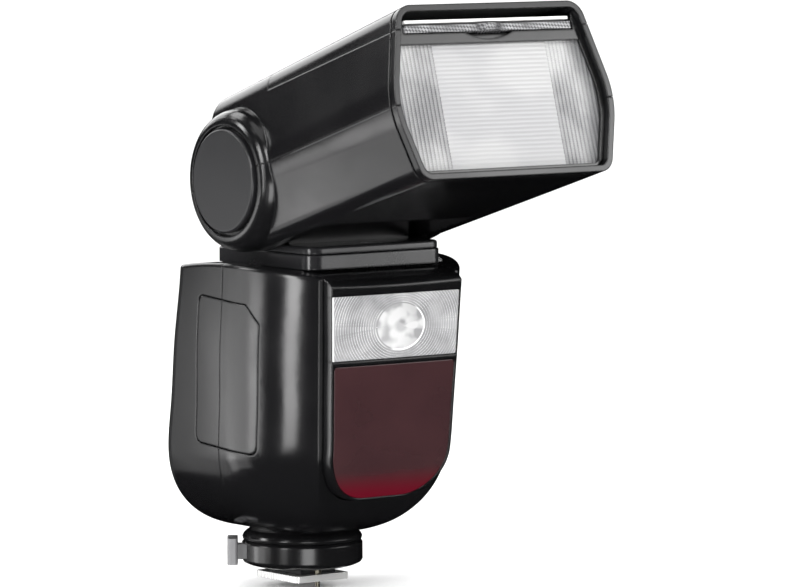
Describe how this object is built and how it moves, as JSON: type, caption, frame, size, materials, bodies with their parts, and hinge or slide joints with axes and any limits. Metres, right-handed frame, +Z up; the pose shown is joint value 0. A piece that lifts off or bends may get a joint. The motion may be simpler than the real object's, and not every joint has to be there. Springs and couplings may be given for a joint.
{
  "type": "speedlight flash",
  "caption": "Camera-top flash with a tilting and swivelling zoom head, front lamp, red focus-assist window, side battery, rear control face and locking hot-shoe foot.",
  "frame": {"origin": "centre of the foot plate's underside, the face that rests in the camera's accessory shoe", "axes": "+Z up, -Y the way the flash points, +X to the right of someone facing its front; the head is at rest tilted 16.25 degrees up"},
  "size_m": [0.0752, 0.1257, 0.1697],
  "materials": {
    "black_plastic": "satin, fine moulded grain",
    "gloss_black": "polished",
    "clear_plastic": "clear moulded acrylic with lens ribs",
    "dark_red_plastic": "translucent dark red, polished",
    "bright_reflector": "aluminised",
    "board": "solder mask",
    "capacitor_sleeve": "shrink sleeve",
    "nylon": "satin",
    "display_glass": "liquid crystal panel",
    "zinc_steel": "zinc plated",
    "shoe_plate": "bright nickel",
    "contact_metal": "nickel plated",
    "grey_plastic": "satin grey",
    "cell_wrap": "shrink wrap",
    "soft_rubber": "matte",
    "tube_glass": "clear quartz",
    "white_plastic": "matte white"
  },
  "bodies": {
    "flash_body": {"foot_plate": "shoe_plate", "contact_block": "black_plastic", "foot_screws": "zinc_steel", "lock_collar": "black_plastic", "foot_neck": "black_plastic", "front_shell": "black_plastic", "rear_shell": "black_plastic", "front_bezel": "gloss_black", "lamp_lens": "clear_plastic", "red_window": "dark_red_plastic", "lamp_reflector": "bright_reflector", "lamp_led_board": "board", "main_board": "board", "main_capacitor": "capacitor_sleeve", "swivel_bush": "nylon", "battery_bay": "black_plastic", "lcd_cover": "gloss_black", "lcd_module": "display_glass", "user_board": "board", "usb_socket": "zinc_steel", "sync_socket": "zinc_steel"},
    "center_contact": {"contact_pin_center": "contact_metal"},
    "small_contacts": {"contact_pins_small": "contact_metal"},
    "lock_pin_body": {"lock_pin": "zinc_steel"},
    "lock_lever_body": {"lock_lever": "grey_plastic"},
    "battery_pack": {"battery_case_front": "black_plastic", "battery_case_rear": "black_plastic", "battery_cells": "cell_wrap"},
    "release_button": {"battery_release": "grey_plastic"},
    "port_flap": {"port_cover": "soft_rubber"},
    "key_1": {"soft_key_1": "soft_rubber"},
    "key_2": {"soft_key_2": "soft_rubber"},
    "key_3": {"soft_key_3": "soft_rubber"},
    "key_4": {"soft_key_4": "soft_rubber"},
    "mode_key": {"mode_button": "soft_rubber"},
    "sync_key": {"sync_button": "soft_rubber"},
    "test_key": {"test_button": "soft_rubber"},
    "dial": {"select_dial": "black_plastic"},
    "set_key": {"set_button": "black_plastic"},
    "power_slider": {"power_switch": "black_plastic"},
    "neck": {"neck_base": "black_plastic", "neck_cover": "black_plastic", "yoke": "black_plastic"},
    "head": {"head_upper_shell": "black_plastic", "head_lower_shell": "black_plastic", "head_top_cover": "black_plastic", "pivot_caps": "black_plastic", "window_frame": "gloss_black", "fresnel_window": "clear_plastic", "card_tray": "black_plastic", "zoom_rails": "zinc_steel", "zoom_motor": "zinc_steel", "tilt_axle": "zinc_steel"},
    "zoom_carriage_body": {"reflector": "bright_reflector", "flash_tube": "tube_glass", "tube_boots": "soft_rubber", "zoom_carriage": "black_plastic"},
    "zoom_screw_body": {"zoom_screw": "zinc_steel"},
    "wide_panel_body": {"wide_panel": "clear_plastic"},
    "bounce_card_body": {"bounce_card": "white_plastic"}
  },
  "joints": [
    {"name": "head_swivel", "type": "hinge", "parent": "flash_body", "child": "neck", "pos_m": [0, -0.0133, 0.0927], "axis": [0, 0, 1], "range_deg": [-150, 180]},
    {"name": "head_tilt", "type": "hinge", "parent": "neck", "child": "head", "pos_m": [0, -0.0133, 0.1166], "axis": [-1, 0, 0], "range_deg": [-21.25, 103.75], "stiffness_Nm_per_rad": 2.5},
    {"name": "zoom_slide", "type": "slide", "parent": "head", "child": "zoom_carriage_body", "axis": [0, 0.96, -0.2798], "range_m": [0, 0.02]},
    {"name": "zoom_screw_turn", "type": "hinge", "parent": "head", "child": "zoom_screw_body", "pos_m": [0, -0.04706, 0.14373], "axis": [0, -0.96, 0.2798], "range_deg": [0, 2400]},
    {"name": "wide_panel_slide", "type": "slide", "parent": "head", "child": "wide_panel_body", "axis": [0, -0.96, 0.2798], "range_m": [0, 0.042]},
    {"name": "bounce_card_slide", "type": "slide", "parent": "head", "child": "bounce_card_body", "axis": [0, -0.96, 0.2798], "range_m": [0, 0.042]},
    {"name": "battery_slide", "type": "slide", "parent": "flash_body", "child": "battery_pack", "axis": [-1, 0, 0], "range_m": [0, 0.075]},
    {"name": "battery_release_press", "type": "slide", "parent": "flash_body", "child": "release_button", "axis": [-1, 0, 0], "range_m": [0, 0.0009]},
    {"name": "port_flap_open", "type": "hinge", "parent": "flash_body", "child": "port_flap", "pos_m": [0.03575, -0.01402, 0.06843], "axis": [0, -0.0785, 0.9969], "range_deg": [0, 100]},
    {"name": "soft_key_1_press", "type": "slide", "parent": "flash_body", "child": "key_1", "axis": [0, -0.9869, -0.1616], "range_m": [0, 0.0007]},
    {"name": "soft_key_2_press", "type": "slide", "parent": "flash_body", "child": "key_2", "axis": [0, -0.9869, -0.1616], "range_m": [0, 0.0007]},
    {"name": "soft_key_3_press", "type": "slide", "parent": "flash_body", "child": "key_3", "axis": [0, -0.9869, -0.1616], "range_m": [0, 0.0007]},
    {"name": "soft_key_4_press", "type": "slide", "parent": "flash_body", "child": "key_4", "axis": [0, -0.9869, -0.1616], "range_m": [0, 0.0007]},
    {"name": "mode_press", "type": "slide", "parent": "flash_body", "child": "mode_key", "axis": [0, -0.9869, -0.1616], "range_m": [0, 0.0007]},
    {"name": "sync_press", "type": "slide", "parent": "flash_body", "child": "sync_key", "axis": [0, -0.9869, -0.1616], "range_m": [0, 0.0007]},
    {"name": "test_press", "type": "slide", "parent": "flash_body", "child": "test_key", "axis": [0, -0.9869, -0.1616], "range_m": [0, 0.0007]},
    {"name": "dial_turn", "type": "hinge", "parent": "flash_body", "child": "dial", "pos_m": [0, 0.02096, 0.03738], "axis": [0, 0.9869, 0.1616], "continuous": true},
    {"name": "set_press", "type": "slide", "parent": "flash_body", "child": "set_key", "axis": [0, -0.9869, -0.1616], "range_m": [0, 0.0007]},
    {"name": "power_switch_slide", "type": "slide", "parent": "flash_body", "child": "power_slider", "axis": [1, 0, 0], "range_m": [0, 0.0028]},
    {"name": "lock_lever_turn", "type": "hinge", "parent": "flash_body", "child": "lock_lever_body", "pos_m": [0, 0, 0.008], "axis": [0, 0, -1], "range_deg": [0, 70]},
    {"name": "lock_pin_slide", "type": "slide", "parent": "flash_body", "child": "lock_pin_body", "axis": [0, 0, 1], "range_m": [0, 0.002]},
    {"name": "center_contact_press", "type": "slide", "parent": "flash_body", "child": "center_contact", "axis": [0, 0, 1], "range_m": [0, 0.0012]},
    {"name": "small_contacts_press", "type": "slide", "parent": "flash_body", "child": "small_contacts", "axis": [0, 0, 1], "range_m": [0, 0.0012]}
  ],
  "couplings": [
    {"joint": "zoom_screw_turn", "follows": "zoom_slide", "rad_per_m": 2094.4},
    {"joint": "lock_pin_slide", "follows": "lock_lever_turn", "m_per_rad": 0.0015},
    {"joint": "small_contacts_press", "follows": "center_contact_press", "ratio": 1}
  ]
}
